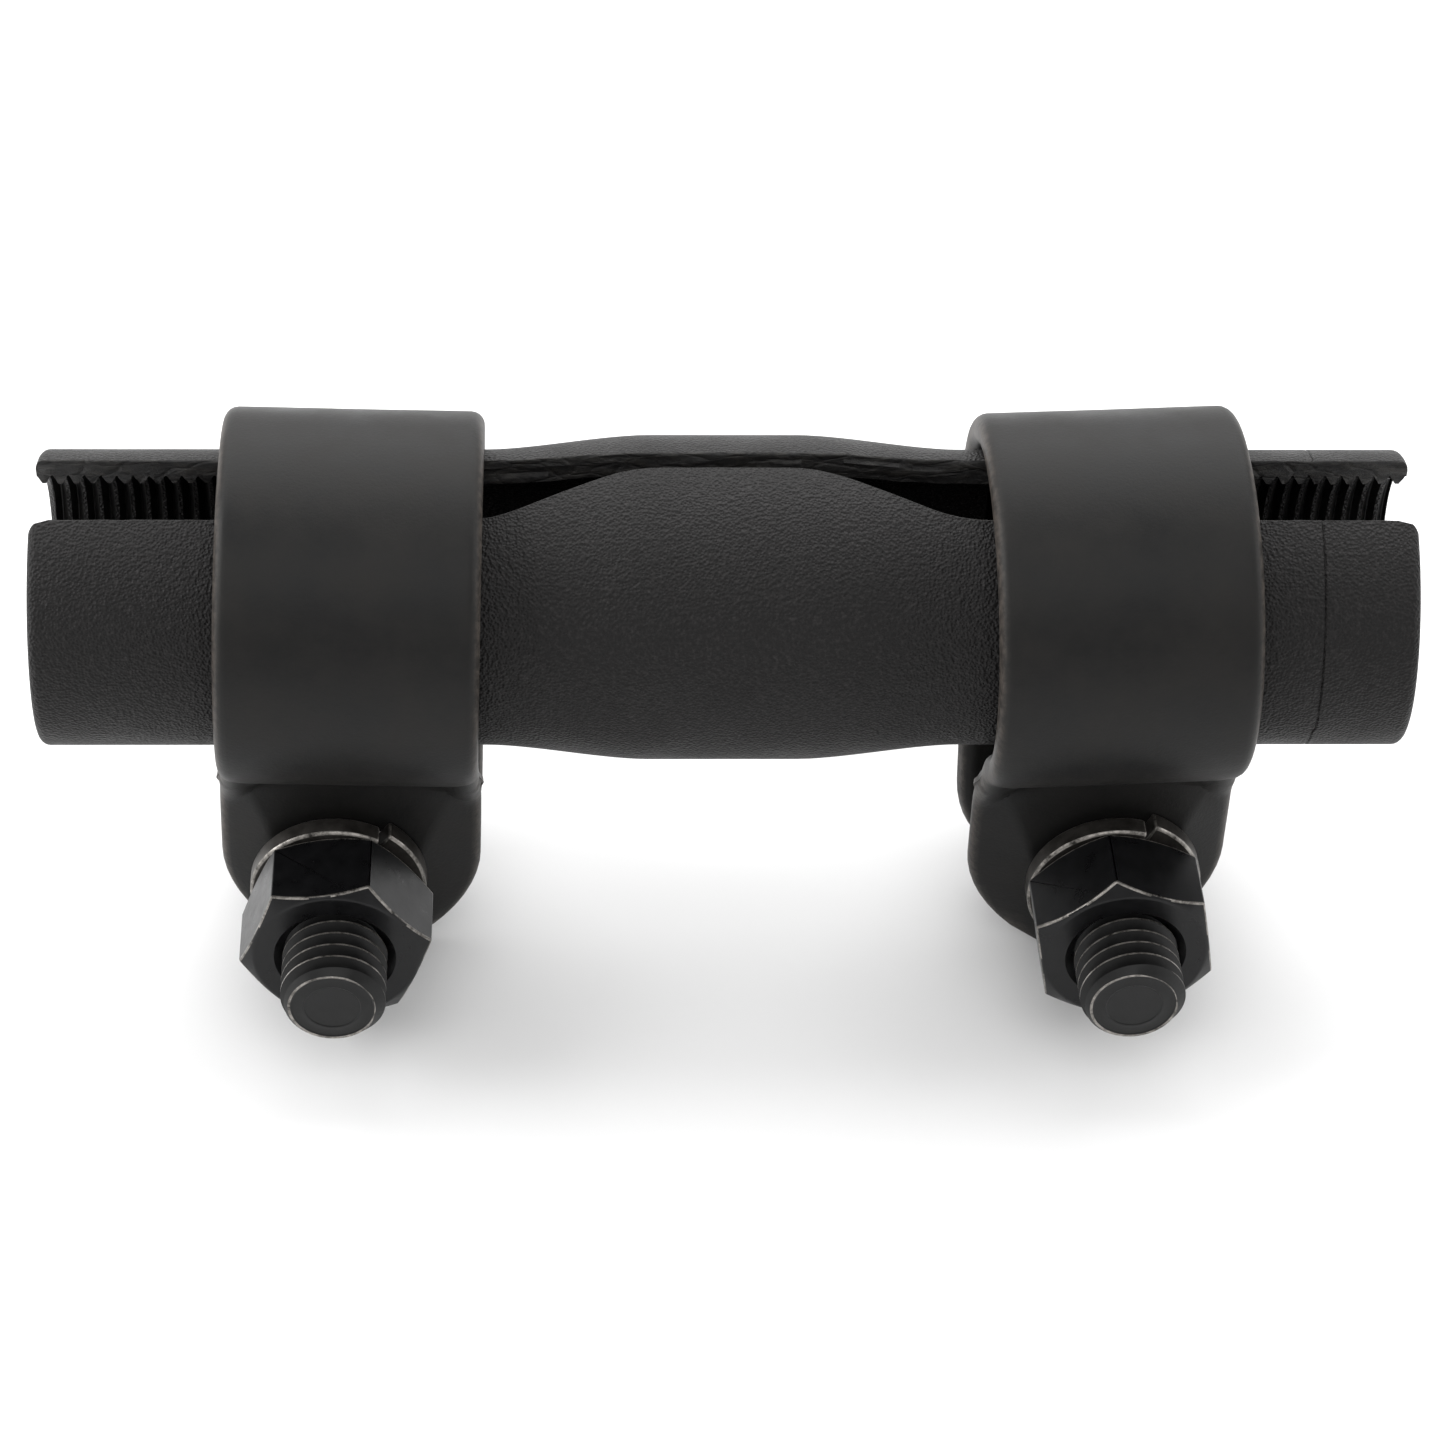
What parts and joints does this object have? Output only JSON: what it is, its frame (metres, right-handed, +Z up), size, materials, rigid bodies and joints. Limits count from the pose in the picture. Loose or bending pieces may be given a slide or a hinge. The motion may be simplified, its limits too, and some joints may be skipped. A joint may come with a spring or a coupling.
{
  "type": "tie-rod adjusting sleeve",
  "caption": "Slotted, double-ended threaded steel sleeve that joins two rods, with a loose pinch clamp and clamping bolt near each end.",
  "frame": {"origin": "centre of the sleeve on its axis, half way between its ends", "axes": "+X along the sleeve's axis towards the left-hand-threaded end, +Z up through the sleeve's slot, clamp ears hanging along -Z, nuts on the -Y side"},
  "size_m": [0.127, 0.0445, 0.0581],
  "materials": {
    "sleeve_phosphate": "matt black phosphate over drawn steel, fine grain",
    "clamp_oxide": "satin black oxide over pressed steel strip",
    "bolt_oxide": "black oxide, bright at the thread crests",
    "nut_oxide": "glossy black oxide, bright at the worn edges",
    "spring_steel": "blued spring steel, worn grey-brown"
  },
  "bodies": {
    "sleeve": {"sleeve": "sleeve_phosphate"},
    "left_clamp": {"left_clamp": "clamp_oxide"},
    "left_bolt": {"left_bolt": "bolt_oxide"},
    "left_lock_washer": {"left_lock_washer": "spring_steel"},
    "left_nut": {"left_nut": "nut_oxide"},
    "right_clamp": {"right_clamp": "clamp_oxide"},
    "right_bolt": {"right_bolt": "bolt_oxide"},
    "right_lock_washer": {"right_lock_washer": "spring_steel"},
    "right_nut": {"right_nut": "nut_oxide"}
  },
  "joints": [
    {"name": "left_clamp_spin", "type": "hinge", "parent": "sleeve", "child": "left_clamp", "pos_m": [-0.0346, 0, 0], "axis": [1, 0, 0], "continuous": true},
    {"name": "left_bolt_spin", "type": "hinge", "parent": "left_clamp", "child": "left_bolt", "pos_m": [-0.03638, 0, -0.02786], "axis": [0, -1, 0], "continuous": true},
    {"name": "left_washer_travel", "type": "slide", "parent": "left_bolt", "child": "left_lock_washer", "axis": [0, -1, 0], "range_m": [0, 0.0065]},
    {"name": "left_nut_spin", "type": "hinge", "parent": "left_lock_washer", "child": "left_nut", "pos_m": [-0.03638, 0, -0.02786], "axis": [0, -1, 0], "range_deg": [0, 1562]},
    {"name": "right_clamp_spin", "type": "hinge", "parent": "sleeve", "child": "right_clamp", "pos_m": [0.0361, 0, 0], "axis": [1, 0, 0], "continuous": true},
    {"name": "right_bolt_spin", "type": "hinge", "parent": "right_clamp", "child": "right_bolt", "pos_m": [0.03715, 0.00005, -0.0279], "axis": [0.0523, -0.9986, 0], "continuous": true},
    {"name": "right_washer_travel", "type": "slide", "parent": "right_bolt", "child": "right_lock_washer", "axis": [0.0523, -0.9986, 0], "range_m": [0, 0.0065]},
    {"name": "right_nut_spin", "type": "hinge", "parent": "right_lock_washer", "child": "right_nut", "pos_m": [0.03715, 0.00005, -0.0279], "axis": [0.0523, -0.9986, 0], "range_deg": [0, 1562]}
  ],
  "couplings": [
    {"joint": "left_nut_spin", "follows": "left_washer_travel", "rad_per_m": 4188.8},
    {"joint": "right_nut_spin", "follows": "right_washer_travel", "rad_per_m": 4188.8}
  ]
}
